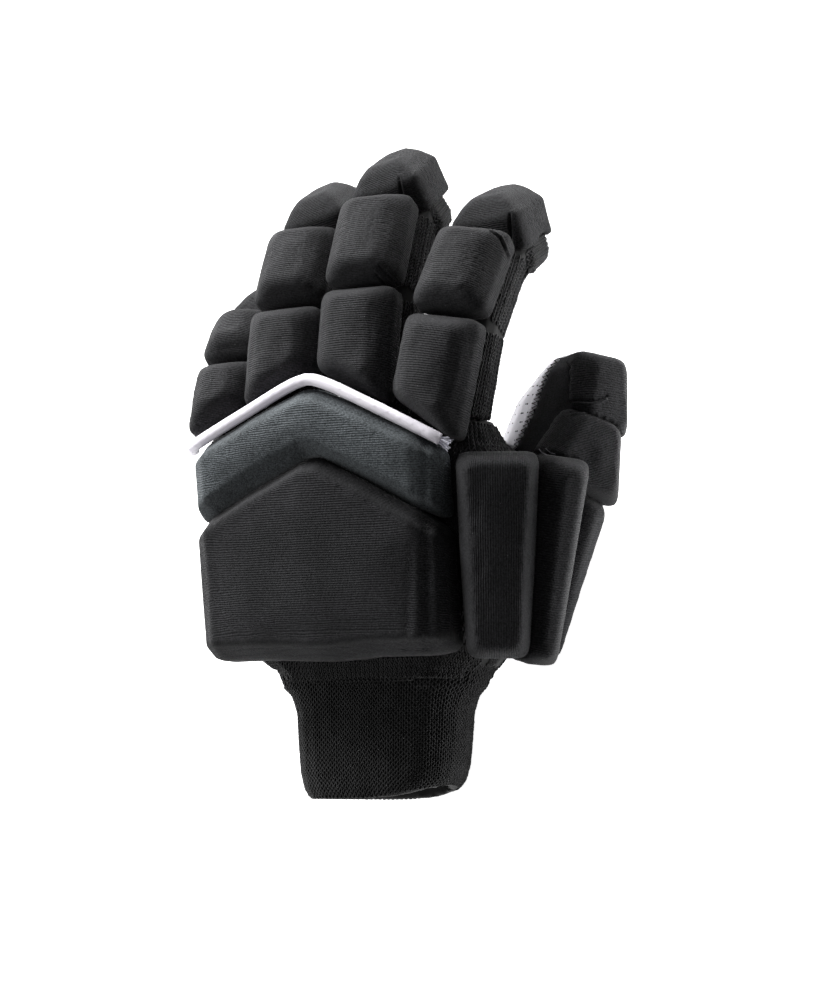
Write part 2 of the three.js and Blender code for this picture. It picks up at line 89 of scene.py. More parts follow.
# Photograph: the camera is 26 degrees round to the thumb side and 6.5 degrees to the wrist
PHOTO_SIZE = (815, 1000)
PHOTO_CENTRE = (407.5, 500)
MM_PER_PIXEL = 0.38
CAMERA_DISTANCE = 1.1
CAMERA_ROUND = 26
CAMERA_TO_WRIST = 6.5
ANCHOR_PIXEL = (375, 660)
ANCHOR = (0, 0, 26)

COARSE_VOXEL = 3.0
COVER_VOXEL = 1.0
CREASED_VOXEL = 0.5
SHELL_VOXEL = 1.0
EDGE_SOFTNESS = 40
FULLNESS = 0.35
SWELL = 0.8
RIB_PITCH = 0.9
NEEDLE_PITCH = 0.6
# The cloth within this height of a pad's foot is sewn down, in mm
SEWN_HEIGHT = 2.5
SWELL_FRAMES = 20
# Rays to a surface start this far off, in metres
RAY_START = 0.12
# A loop or hole with a pad this close over it is left out, in mm
COVER_REACH = 2.2
# How far the rows of the cuff are set back at its thumb side, for places along the hand
CUFF_SET_BACK = ((-52, 5), (-48.5, 4.5), (-42, 3), (-30, 1), (-20, 0))
# The front end of the cuff reaches this far over the hand, and is widened by this part over
# this length in mm
CUFF_OVERLAP = 5.5
FLARE = 0.09
FLARE_LENGTH = 13
CUFF_KNIT = dict(width=1.95, step=0.95, strand=0.38, stagger=True, yarn="cuff")
GUSSET_KNIT = dict(width=2.4, step=1.5, strand=0.37, stagger=False, yarn="glove")
HOLE_PITCH = 3.5
HOLE_WIDTH = 0.62
HOLE_DEPTH = 0.12
HOLE_SPAN = (66, 113)
STITCH_SPAN = (64, 112)
TOOTH_PITCH = 1.7
TOOTH_SIDES = (-0.5, 0.85)
TOOTH_RADIUS = 0.2
THREAD_RADIUS = 0.16
FRAY_COUNT = 46
PIPING_VOXEL = 0.6
PRESSED_LENGTH = 4.5
TABLE_GLOW = 0.95
TABLE_GLOW_STRIP = 5.5
STRIP_MIDDLE = 0.115
ROOM_GLOW = 0.14

# Soft lights over the table: position and size in metres, and power in watts
LIGHTS = {
    "key_softbox": ((-0.6, 0.74, 0.36), (0.5, 0.36), 24),
    "fingertip_panel": ((-0.2, 0.9, 0.08), (0.6, 0.14), 7),
    "wrist_fill": ((-0.8, -0.3, 0.5), (0.5, 0.5), 5),
}
LIGHT_AIM = (0, 0, 0.03)

# Side and reach of the knit that stands out beside a finger, and where it fades to the tip
BAGGY_SIDES = {"index": (-1, 4.0, 62, 82), "middle": (1, 2.5, 78, 100)}
SEED = 11


# Places

SHIFT = Vector((
    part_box("wrist_block")[0].x / MM - BLOCK_LEFT_EDGE,
    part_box("knit_cuff")[0].y / MM - CUFF_OPEN_END,
    0,
))


def place(x, y, z):
    """A point of the pattern, in the row frame."""
    return (Vector((x, y, z)) + SHIFT) * MM


def back_height(x, y):
    return BACK_AT_WRIST + BACK_RISE * y - ARCH_CURVE * (x - ARCH_CENTRE) ** 2


def bone_way(yaw, pitch):
    return Vector((
        math.sin(yaw) * math.cos(pitch),
        math.cos(yaw) * math.cos(pitch),
        math.sin(pitch),
    ))


def bone_frame(finger, bone, along=0):
    """Point on the back of a finger, with the ways along, across and out."""
    sizes = FINGERS[finger]
    yaw = math.radians(sizes["yaw"])
    root = sizes["root"]
    point = Vector((root, KNUCKLE_LINE, back_height(root, KNUCKLE_LINE)))
    for before in range(bone):
        pitch = math.radians(sizes["pitches"][before])
        point += bone_way(yaw, pitch) * sizes["lengths"][before]
    axis = bone_way(yaw, math.radians(sizes["pitches"][bone]))
    point += axis * along
    across = Vector((math.cos(yaw), -math.sin(yaw), 0))
    if bone == 2:
        across = Matrix.Rotation(-math.radians(sizes["tip_turn"]), 3, axis) @ across
    return place(*point), axis, across, across.cross(axis).normalized()


def side_frame(start, stop, roll):
    start = Vector(start)
    axis = (Vector(stop) - start).normalized()
    roll = math.radians(roll)
    up = Vector((math.sin(roll), 0, math.cos(roll)))
    out = (up - axis * up.dot(axis)).normalized()
    return place(*start), axis, axis.cross(out), out


def photo_camera():
    """Eye, right, up and back of the photograph's camera."""
    around = math.radians(CAMERA_ROUND)
    down = math.radians(-CAMERA_TO_WRIST)
    back = Vector((
        math.sin(around) * math.cos(down),
        math.sin(down),
        math.cos(around) * math.cos(down),
    ))
    up = (Vector((0, 1, 0)) - back * back.y).normalized()
    right = up.cross(back)
    side = (ANCHOR_PIXEL[0] - PHOTO_CENTRE[0]) * MM_PER_PIXEL * MM
    rise = (PHOTO_CENTRE[1] - ANCHOR_PIXEL[1]) * MM_PER_PIXEL * MM
    target = place(*ANCHOR) - right * side - up * rise
    return target + back * CAMERA_DISTANCE, right, up, back


EYE, RIGHT, UP, BACK = photo_camera()


def sight_line(pixel):
    """Unit direction from the eye through a pixel of the photograph."""
    side = (pixel[0] - PHOTO_CENTRE[0]) * MM_PER_PIXEL * MM
    rise = (PHOTO_CENTRE[1] - pixel[1]) * MM_PER_PIXEL * MM
    return (RIGHT * side + UP * rise - BACK * CAMERA_DISTANCE).normalized()


# Nodes and colours

def add_node(tree, kind, inputs=None, **settings):
    """Adds a node with its settings; an input is a value or the socket to link from."""
    node = tree.nodes.new(kind)
    for key, value in settings.items():
        setattr(node, key, value)
    for key, value in (inputs or {}).items():
        socket = node.inputs[key]
        if isinstance(value, bpy.types.NodeSocket):
            tree.links.new(value, socket)
        else:
            socket.default_value = value
    return node


def colour(code):
    """sRGB hex to linear RGBA."""
    parts = [int(code[i:i + 2], 16) / 255 for i in (1, 3, 5)]
    return [*((p / 12.92 if p <= 0.04045 else ((p + 0.055) / 1.055) ** 2.4) for p in parts), 1]


def new_material(name):
    material = bpy.data.materials.new(name)
    material.use_nodes = True
    tree = material.node_tree
    shader = tree.nodes["Principled BSDF"]
    return material, tree, shader


def noise(tree, scale, detail=2.0):
    """A noise in the piece's own metres, from 0 to 1."""
    spot = add_node(tree, "ShaderNodeTexCoord").outputs["Object"]
    return add_node(tree, "ShaderNodeTexNoise",
                    {"Vector": spot, "Scale": scale, "Detail": detail}).outputs["Fac"]


def calculate(tree, operation, *values):
    return add_node(tree, "ShaderNodeMath", dict(enumerate(values)), operation=operation).outputs[0]


def spread(tree, value, low, high, new_low=0.0, new_high=1.0):
    return add_node(tree, "ShaderNodeMapRange",
                    {"Value": value, "From Min": low, "From Max": high,
                     "To Min": new_low, "To Max": new_high}).outputs[0]


def blend(tree, part, first, second, way="MIX"):
    return add_node(tree, "ShaderNodeMix", {0: part, 6: first, 7: second},
                    data_type="RGBA", blend_type=way).outputs[2]


def paint(tree, shader, body, height, depth, strength):
    """Links a colour, and a bump of the given depth in metres."""
    bump = add_node(tree, "ShaderNodeBump",
                    {"Strength": strength, "Distance": depth, "Height": height})
    tree.links.new(body, shader.inputs["Base Color"])
    tree.links.new(bump.outputs[0], shader.inputs["Normal"])


def ribbed_cloth(name, rib, groove_shade, lint):
    # Warp-knitted polyester: fine raised ribs with painted shade in the grooves between them, a dry
    # nap and a little lint
    material, tree, shader = new_material(name)
    across = add_node(tree, "ShaderNodeUVMap", uv_map="cloth").outputs["UV"]
    split = add_node(tree, "ShaderNodeSeparateXYZ", {0: across})
    bent = calculate(tree, "MULTIPLY_ADD", noise(tree, 90.0), 0.0006, split.outputs["Y"])
    turns = calculate(tree, "MULTIPLY", bent, 2 * math.pi / (RIB_PITCH * MM))
    ribs = calculate(tree, "SINE", turns)
    # Needle loops along each rib
    loops = calculate(tree, "MULTIPLY", split.outputs["X"], 2 * math.pi / (NEEDLE_PITCH * MM))
    weave = calculate(tree, "MULTIPLY_ADD", calculate(tree, "SINE", loops), 0.25, ribs)
    height = spread(tree, weave, -1.25, 1.25)
    yarn = noise(tree, 1500.0, 3.0)
    # The colour mix is part random yarn tone and part painted shade: the lower a point of the ribs,
    # the nearer it is to the groove colour
    nap = calculate(tree, "MULTIPLY_ADD", spread(tree, yarn, 0.35, 0.65), 0.55,
                    calculate(tree, "MULTIPLY", height, 0.45))
    body = blend(tree, nap, colour(groove_shade), colour(rib))
    handled = spread(tree, noise(tree, 45.0, 4.0), 0.3, 0.7, 0.78, 1.22)
    worn_cloth_and_groove_shade = blend(tree, 1.0, body, handled, "MULTIPLY")
    fluff = spread(tree, noise(tree, 1100.0, 1.0), 0.765, 0.8)
    paint(tree, shader, blend(tree, fluff, worn_cloth_and_groove_shade, colour(lint)),
          calculate(tree, "MULTIPLY_ADD", yarn, 0.9, height), 0.0003, 0.8)
    tree.links.new(spread(tree, yarn, 0.0, 1.0, 0.74, 0.96), shader.inputs["Roughness"])
    shader.inputs["Specular IOR Level"].default_value = 0.14
    shader.inputs["Sheen Weight"].default_value = 0.08
    shader.inputs["Sheen Roughness"].default_value = 0.25
    return material


def yarn_material(name, light, dark):
    # Spun polyester yarn: twisted fibres, matt with a faint sheen on each loop
    material, tree, shader = new_material(name)
    fibres = noise(tree, 2600.0)
    clumps = noise(tree, 160.0)
    both = calculate(tree, "MULTIPLY", fibres, clumps)
    body = blend(tree, spread(tree, both, 0.12, 0.42), colour(dark), colour(light))
    paint(tree, shader, body, fibres, 0.0001, 0.4)
    shader.inputs["Roughness"].default_value = 0.72
    shader.inputs["Specular IOR Level"].default_value = 0.3
    shader.inputs["Sheen Weight"].default_value = 0.08
    shader.inputs["Sheen Roughness"].default_value = 0.3
    return material


def suede_material(name, light, dark):
    # Split microfibre suede: short even nap with no weave, darker where it is rubbed
    material, tree, shader = new_material(name)
    nap = noise(tree, 1800.0, 3.0)
    both = calculate(tree, "MULTIPLY", nap, noise(tree, 55.0, 3.0))
    body = blend(tree, spread(tree, both, 0.15, 0.4), colour(dark), colour(light))
    paint(tree, shader, body, nap, 0.0001, 0.3)
    shader.inputs["Roughness"].default_value = 0.85
    shader.inputs["Specular IOR Level"].default_value = 0.15
    shader.inputs["Sheen Weight"].default_value = 0.06
    shader.inputs["Sheen Roughness"].default_value = 0.3
    return material


def leather_material(name, light, dark):
    # Coated synthetic leather: fine pebbled grain, faint creases and a satin coat
    material, tree, shader = new_material(name)
    spot = add_node(tree, "ShaderNodeTexCoord").outputs["Object"]
    grain = add_node(tree, "ShaderNodeTexVoronoi", {"Vector": spot, "Scale": 1100.0},
                     feature="DISTANCE_TO_EDGE").outputs["Distance"]
    creases = noise(tree, 130.0, 5.0)
    handled = spread(tree, noise(tree, 28.0, 3.0), 0.35, 0.65)
    body = blend(tree, handled, colour(dark), colour(light))
    paint(tree, shader, body, calculate(tree, "MULTIPLY_ADD", creases, 1.6, grain), 0.0003, 0.35)
    tree.links.new(spread(tree, creases, 0.0, 1.0, 0.42, 0.65), shader.inputs["Roughness"])
    shader.inputs["IOR"].default_value = 1.48
    shader.inputs["Coat Weight"].default_value = 0.1
    shader.inputs["Coat Roughness"].default_value = 0.4
    return material


def piping_material(name, light, dark):
    # Glazed cotton piping: close smooth tape over a cord, with faint cross threads
    material, tree, shader = new_material(name)
    marks = spread(tree, noise(tree, 70.0, 3.0), 0.35, 0.65)
    body = blend(tree, marks, colour(dark), colour(light))
    paint(tree, shader, body, noise(tree, 900.0), 0.0002, 0.15)
    shader.inputs["Roughness"].default_value = 0.45
    shader.inputs["Sheen Weight"].default_value = 0.1
    return material


# The second colour of each cloth is painted shade for the grooves between its ribs
BLACK_CLOTH = ribbed_cloth("warp_knit_cloth_black", "#353537", "#060607", "#505052")
GREY_CLOTH = ribbed_cloth("warp_knit_cloth_grey", "#63686b", "#1d2022", "#74797c")
KNIT_YARN = yarn_material("knitted_yarn_black", "#2c2c2e", "#0d0d0e")
CUFF_YARN = yarn_material("cuff_yarn_black", "#262627", "#0a0a0a")
# The shells under the knitted loops are painted near black: painted shade between the loops, which
# are of the same black yarn
KNIT_GROUND_SHADE = yarn_material("knitted_ground_painted_shade", "#0a0a0b", "#040404")
THUMB_SUEDE = suede_material("microfibre_suede_black", "#313133", "#1b1b1c")
WHITE_LEATHER = leather_material("perforated_leather_white", "#f8f7f8", "#ebeaee")
WHITE_PIPING = piping_material("glazed_piping_white", "#f4f0f7", "#e8e3ee")
HOLE_SHADE = yarn_material("punched_hole_shade", "#2a2a2c", "#161617")
BLACK_THREAD = yarn_material("sewing_thread_black", "#242426", "#0c0c0c")
WHITE_THREAD = yarn_material("frayed_cotton_white", "#f2f0f8", "#c9ccdc")
PALE_THREAD = yarn_material("loose_thread_grey", "#8c8c90", "#55555a")


# Meshes

def new_object(name, mesh, material=None):
    piece = bpy.data.objects.new(name, mesh)
    bpy.context.scene.collection.objects.link(piece)
    if material:
        mesh.materials.clear()
        mesh.materials.append(material)
    return piece


def merged_mesh(node):
    """The node's own shape, with its loose triangles joined."""
    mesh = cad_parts[node].data.copy()
    shape = bmesh.new()
    shape.from_mesh(mesh)
    bmesh.ops.remove_doubles(shape, verts=shape.verts, dist=1e-6)
    shape.to_mesh(mesh)
    shape.free()
    return mesh


def finished_mesh(piece):
    """Replaces a piece's mesh by the one that its modifiers make."""
    graph = bpy.context.evaluated_depsgraph_get()
    mesh = bpy.data.meshes.new_from_object(piece.evaluated_get(graph))
    piece.modifiers.clear()
    old = piece.data
    piece.data = mesh
    bpy.data.meshes.remove(old)
    return mesh


def relax(mesh, rounds):
    """Evens out a mesh and rounds its edges, without shrinking it."""
    ends = np.empty(len(mesh.edges) * 2, dtype=np.int32)
    mesh.edges.foreach_get("vertices", ends)
    first, second = ends.reshape(-1, 2).T
    points = coordinates(mesh)
    size = len(points)
    count = np.bincount(first, minlength=size) + np.bincount(second, minlength=size)
    for factor in (0.5, -0.53) * rounds:
        shift = np.empty_like(points)
        for k in range(3):
            total = np.bincount(first, points[second, k], size)
            total += np.bincount(second, points[first, k], size)
            shift[:, k] = total / count - points[:, k]
        points = points + shift * factor
    set_coordinates(mesh, points)


def regrid(piece, voxel, rounds):
    """Gives a piece even quads, and rounds its edges."""
    grid = piece.modifiers.new("grid", "REMESH")
    grid.mode = "VOXEL"
    grid.voxel_size = voxel * MM
    finished_mesh(piece)
    relax(piece.data, rounds)


def remeshed(node, name, voxel, rounds):
    """A soft copy of a node."""
    piece = new_object(name, merged_mesh(node))
    regrid(piece, voxel, rounds)
    return piece


def coordinates(mesh):
    values = np.empty(len(mesh.vertices) * 3)
    mesh.vertices.foreach_get("co", values)
    return values.reshape(-1, 3)


def set_coordinates(mesh, values):
    mesh.vertices.foreach_set("co", values.ravel())
    mesh.update()


def vertex_normals(mesh):
    values = np.empty(len(mesh.vertices) * 3)
    mesh.vertex_normals.foreach_get("vector", values)
    return values.reshape(-1, 3)


def lay_cloth(mesh, axes, turned=False, lean=0.0):
    """Writes the cloth's own map: metres across and along, carried down over the ends."""
    start, axis, across, out = (np.array(v) for v in axes)
    points = coordinates(mesh) - start
    normals = vertex_normals(mesh)
    along = points @ axis
    side = points @ across
    height = points @ out
    drop = height.max() - height
    along = along + (normals @ axis) * drop
    side = side + (normals @ across) * drop
    if turned:
        along, side = side, along
    if lean:
        angle = math.radians(lean)
        along, side = (along * math.cos(angle) + side * math.sin(angle),
                       side * math.cos(angle) - along * math.sin(angle))
    layer = mesh.uv_layers.new(name="cloth")
    corners = np.empty(len(mesh.loops), dtype=np.int32)
    mesh.loops.foreach_get("vertex_index", corners)
    uv = np.stack([side[corners], along[corners]], axis=1)
    layer.data.foreach_set("uv", uv.ravel())


def shade_smooth(mesh):
    mesh.polygons.foreach_set("use_smooth", [True] * len(mesh.polygons))
    mesh.update()


def surface_of(*pieces):
    """One surface of all the pieces, for rays."""
    points, faces = [], []
    for piece in pieces:
        before = len(points)
        points.extend(v.co.copy() for v in piece.data.vertices)
        faces.extend([i + before for i in p.vertices] for p in piece.data.polygons)
    return BVHTree.FromPolygons(points, faces)


def tubes(name, lines, radius, material):
    """Round threads through lines of points, as one piece."""
    data = bpy.data.curves.new(name, "CURVE")
    data.dimensions = "3D"
    data.bevel_depth = radius * MM
    data.bevel_resolution = 1
    data.use_fill_caps = True
    for line in lines:
        spline = data.splines.new("POLY")
        spline.points.add(len(line) - 1)
        for spot, point in zip(spline.points, line):
            spot.co = (*point, 1)
    drawn = bpy.data.objects.new(name, data)
    bpy.context.scene.collection.objects.link(drawn)
    graph = bpy.context.evaluated_depsgraph_get()
    mesh = bpy.data.meshes.new_from_object(drawn.evaluated_get(graph))
    bpy.data.objects.remove(drawn)
    piece = new_object(name, mesh, material)
    shade_smooth(mesh)
    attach(piece, BODY)
    return piece


# Pads

WIDE = (place(0, 0, 0), Vector((0, 1, 0)), Vector((1, 0, 0)), Vector((0, 0, 1)))
PADS = {}
for finger_name in FINGERS:
    for bone_index, part in enumerate(("base", "middle", "tip")):
        PADS[f"{finger_name}_{part}_pad"] = bone_frame(finger_name, bone_index)
for pad_name, line in SIDE_PADS.items():
    PADS[pad_name] = side_frame(*line)
PADS["knuckle_band"] = WIDE
PADS["wrist_block"] = WIDE


def swelling():
    """How far the cloth over each pad's foam swells, from one cloth simulation of all pads."""
    parts, faces, spans, pinned = [], [], {}, []
    total = 0
    for node, (start, axis, across, out) in PADS.items():
        coarse = remeshed(node, "coarse", COARSE_VOXEL, 2)
        points = coordinates(coarse.data)
        height = (points - np.array(start)) @ np.array(out)
        if node in ("knuckle_band", "wrist_block"):
            local = points / MM - np.array(SHIFT)
            height = (local[:, 2] - back_height(local[:, 0], local[:, 1])) * MM
        pinned.extend((np.nonzero(height < height.min() + SEWN_HEIGHT * MM)[0] + total).tolist())
        faces.extend([tuple(i + total for i in p.vertices) for p in coarse.data.polygons])
        spans[node] = (total, total + len(points))
        total += len(points)
        parts.append(points)
        bpy.data.objects.remove(coarse)
    rest = np.concatenate(parts)
    mesh = bpy.data.meshes.new("swell")
    mesh.from_pydata(rest.tolist(), [], faces)
    cover = new_object("swell", mesh)
    group = cover.vertex_groups.new(name="sewn")
    group.add(pinned, 1.0, "REPLACE")
    cloth = cover.modifiers.new("cloth", "CLOTH")
    cloth.settings.quality = 5
    cloth.settings.mass = 0.2
    cloth.settings.tension_stiffness = 12
    cloth.settings.compression_stiffness = 12
    cloth.settings.bending_stiffness = 0.6
    cloth.settings.use_pressure = True
    cloth.settings.uniform_pressure_force = 4
    cloth.settings.vertex_group_mass = "sewn"
    cloth.settings.effector_weights.gravity = 0
    cloth.point_cache.frame_start = 1
    cloth.point_cache.frame_end = SWELL_FRAMES
    scene = bpy.context.scene
    for number in range(1, SWELL_FRAMES + 1):
        scene.frame_set(number)
    graph = bpy.context.evaluated_depsgraph_get()
    swollen = coordinates(cover.evaluated_get(graph).data)
    cover.modifiers.clear()
    scene.frame_set(1)
    bpy.data.objects.remove(cover)
    moved = swollen - rest
    fields = {}
    for node, (first, last) in spans.items():
        part = moved[first:last]
        size = np.linalg.norm(part, axis=1)
        limit = max(float(np.percentile(size, 95)), 1e-9)
        part = part * (SWELL * MM / limit) * np.minimum(1, limit / np.maximum(size, 1e-9))[:, None]
        fields[node] = (rest[first:last], part)
    return fields


def swell(mesh, field):
    """Carries the swelling of the coarse cover over to the fine one."""
    rest, moved = field
    tree = KDTree(len(rest))
    for i, point in enumerate(rest):
        tree.insert(point, i)
    tree.balance()
    points = coordinates(mesh)
    result = points.copy()
    for i, point in enumerate(points):
        near = tree.find_n(point, 9)
        weights = np.array([1 / (distance + MM) for _, _, distance in near])
        shifts = moved[[index for _, index, _ in near]]
        result[i] += (weights[:, None] * shifts).sum(0) / weights.sum()
    set_coordinates(mesh, result)


# Creases pinched into the cloth: pixels of the photograph that each passes through, how deep
# and wide it is in millimetres, and how high the fold beside it stands. A ridge has its depth
# below zero.
CREASES = {
    "index_tip_pad": [([(510, 214), (511, 235), (511, 260)], 0.9, 0.45, 0.35)],
    "middle_tip_pad": [([(399, 178), (402, 195), (417, 220)], 0.9, 0.45, 0.35)],
    "middle_middle_pad": [
        ([(376, 274), (388, 288), (402, 303)], 0.7, 0.5, 0.35),
        ([(379, 266), (390, 277), (402, 288)], 0.45, 0.5, 0.25),
    ],
    "index_middle_pad": [([(491, 231), (500, 238), (508, 256)], 0.7, 0.5, 0.4)],
    "thumb_tip_pad": [([(568, 405), (578, 403), (590, 404), (600, 402), (606, 399)],
                       -0.8, 0.45, -0.6)],
    "thumb_middle_pad": [([(572, 414), (592, 413), (606, 416)], -0.6, 0.45, -0.4)],
    "knuckle_band": [([(425, 405), (426, 450), (424, 518)], 0.7, 1.6, 0.0)],
    "wrist_block": [
        ([(426, 530), (427, 590), (425, 656)], 0.7, 1.8, 0.0),
        ([(410, 545), (409, 600), (405, 650)], 0.3, 1.5, 0.15),
    ],
}


def pinch(piece, pixels, depth, width, fold):
    """Presses a crease into a cover along a line seen in the photograph."""
    surface = surface_of(piece)
    line = []
    for a, b in zip(pixels, pixels[1:]):
        for step in range(12):
            t = step / 11
            pixel = (a[0] + (b[0] - a[0]) * t, a[1] + (b[1] - a[1]) * t)
            point = surface.ray_cast(EYE, sight_line(pixel))[0]
            if point is not None:
                line.append(np.array(point))
    mesh = piece.data
    points = coordinates(mesh)
    normals = vertex_normals(mesh)
    near = np.full(len(points), 1e9)
    side = np.zeros(len(points))
    for a, b in zip(line, line[1:]):
        way = b - a
        length = way @ way
        if length < 1e-12 or length > (6 * MM) ** 2:
            continue
        t = np.clip(((points - a) @ way) / length, 0, 1)
        offset = points - a - t[:, None] * way
        distance = np.linalg.norm(offset, axis=1)
        closer = distance < near
        near[closer] = distance[closer]
        turn = np.cross(way / math.sqrt(length), offset)
        side[closer] = (turn * normals).sum(1)[closer]
    near = near / MM
    side = side / MM
    shape = -depth * np.exp(-(near / width) ** 2)
    shape += fold * np.exp(-((side - 2 * width) / width) ** 2) * (near < 4 * width)
    set_coordinates(mesh, points + normals * (shape * MM)[:, None])


def finish_piece(piece, node, material):
    points = coordinates(piece.data)
    points[:, 2] = np.maximum(points[:, 2], 0)
    set_coordinates(piece.data, points)
    piece.data.materials.clear()
    piece.data.materials.append(material)
    shade_smooth(piece.data)
    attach(piece, BODY)
    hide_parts(node)
    return piece


def make_pads():
    fields = swelling()
    covers = {}
    for node, axes in PADS.items():
        wide = node in ("knuckle_band", "wrist_block")
        cover = remeshed(node, f"{node}_cover", COVER_VOXEL, EDGE_SOFTNESS)
        if node in CREASES and not wide:
            regrid(cover, CREASED_VOXEL, 4)
        mesh = cover.data
        set_coordinates(mesh, coordinates(mesh) + vertex_normals(mesh) * FULLNESS * MM)
        if node in fields:
            swell(mesh, fields[node])
        for crease in CREASES.get(node, ()):
            pinch(cover, *crease)
        lean = -35 if node == "thumb_middle_pad" else 0
        lay_cloth(mesh, axes, turned=node == "side_pad_front", lean=lean)
        grey = node == "knuckle_band"
        finish_piece(cover, node,
                     GREY_CLOTH if grey else BLACK_CLOTH)
        covers[node] = cover
    return covers


# Shells of leather, knit and suede

def stand_out(mesh, finger):
    """Lets the knit on one side of a finger stand out, as it does on an empty sleeve."""
    side, reach, fade_start, fade_end = BAGGY_SIDES[finger]
    start, axis, across, _ = bone_frame(finger, 0)
    level = np.array([axis.x, axis.y, 0]) / math.hypot(axis.x, axis.y)
    points = coordinates(mesh)
    local = (points - np.array(start)) / MM
    part = np.clip(local @ np.array(across) * side / 10, 0, 1)
    fade = np.clip((fade_end - local @ level) / (fade_end - fade_start), 0, 1)
    amount = part ** 2 * (3 - 2 * part) * fade ** 2 * (3 - 2 * fade)
    shift = np.array(across) * side * reach * MM
    set_coordinates(mesh, points + amount[:, None] * shift)


def slide(mesh, edge, side, reach):
    """Moves the end of a shell along the hand, beyond an edge."""
    points = coordinates(mesh)
    beyond = (points[:, 1] - (edge + SHIFT.y) * MM) * side > 0
    points[beyond, 1] += side * reach * MM
    set_coordinates(mesh, points)


def flare(mesh):
    """Widens the front end of the cuff, which is sewn over the rear end of the hand."""
    points = coordinates(mesh)
    middle = (CUFF_MIDDLE[0] + SHIFT.x) * MM
    start = (CUFF_HAND_END + CUFF_OVERLAP - FLARE_LENGTH + SHIFT.y) * MM
    part = np.clip((points[:, 1] - start) / (FLARE_LENGTH * MM), 0, 1)
    factor = 1 + FLARE * part * part * (3 - 2 * part)
    points[:, 0] = middle + (points[:, 0] - middle) * factor
    set_coordinates(mesh, points)


def make_shells():
    shells = {}
    for node, slot, material in (
        ("palm_leather", "white_leather", WHITE_LEATHER),
        ("thumb_leather", "white_leather", WHITE_LEATHER),
        ("thumb_panel", "black_panel", THUMB_SUEDE),
        ("back_liner", "black_knit", KNIT_GROUND_SHADE),
        ("knit_cuff", "black_knit", KNIT_GROUND_SHADE),
        *((f"{finger}_leather", "white_leather", WHITE_LEATHER) for finger in FINGERS),
        *((f"{finger}_gusset", "black_knit", KNIT_GROUND_SHADE) for finger in FINGERS),
    ):
        shell = remeshed(node, f"{node}_shell", SHELL_VOXEL, 3)
        finger = node.split("_")[0]
        if finger in BAGGY_SIDES:
            stand_out(shell.data, finger)
        # The cuff and the hand are sewn together with no gap to be seen
        if node == "knit_cuff":
            slide(shell.data, CUFF_HAND_END - 2, 1, CUFF_OVERLAP)
            flare(shell.data)
        elif node in ("palm_leather", "back_liner"):
            slide(shell.data, CUFF_HAND_END + 2, -1, 0.6)
        finish_piece(shell, node, material)
        shells[node] = shell
    return shells


# Knit and punched holes: one small shape set on each point of a guide

def strand(tree, given, ends):
    """A spindle-shaped length of yarn through three points."""
    line = add_node(tree, "GeometryNodeCurveQuadraticBezier",
                    {"Resolution": 3, "Start": ends[0], "Middle": ends[1], "End": ends[2]})
    along = add_node(tree, "GeometryNodeSplineParameter").outputs["Factor"]
    off_centre = calculate(tree, "MULTIPLY_ADD", along, 2.0, -1.0)
    thinning = calculate(tree, "MULTIPLY", calculate(tree, "POWER", off_centre, 2.0), -0.5)
    width = calculate(tree, "ADD", thinning, 1.0)
    shaped = add_node(tree, "GeometryNodeSetCurveRadius",
                      {"Curve": line.outputs[0], "Radius": width})
    ring = add_node(tree, "GeometryNodeCurvePrimitiveCircle",
                    {"Resolution": 5, "Radius": given["Thickness"]})
    return add_node(tree, "GeometryNodeCurveToMesh",
                    {"Curve": shaped.outputs[0], "Profile Curve": ring.outputs[0]}).outputs[0]


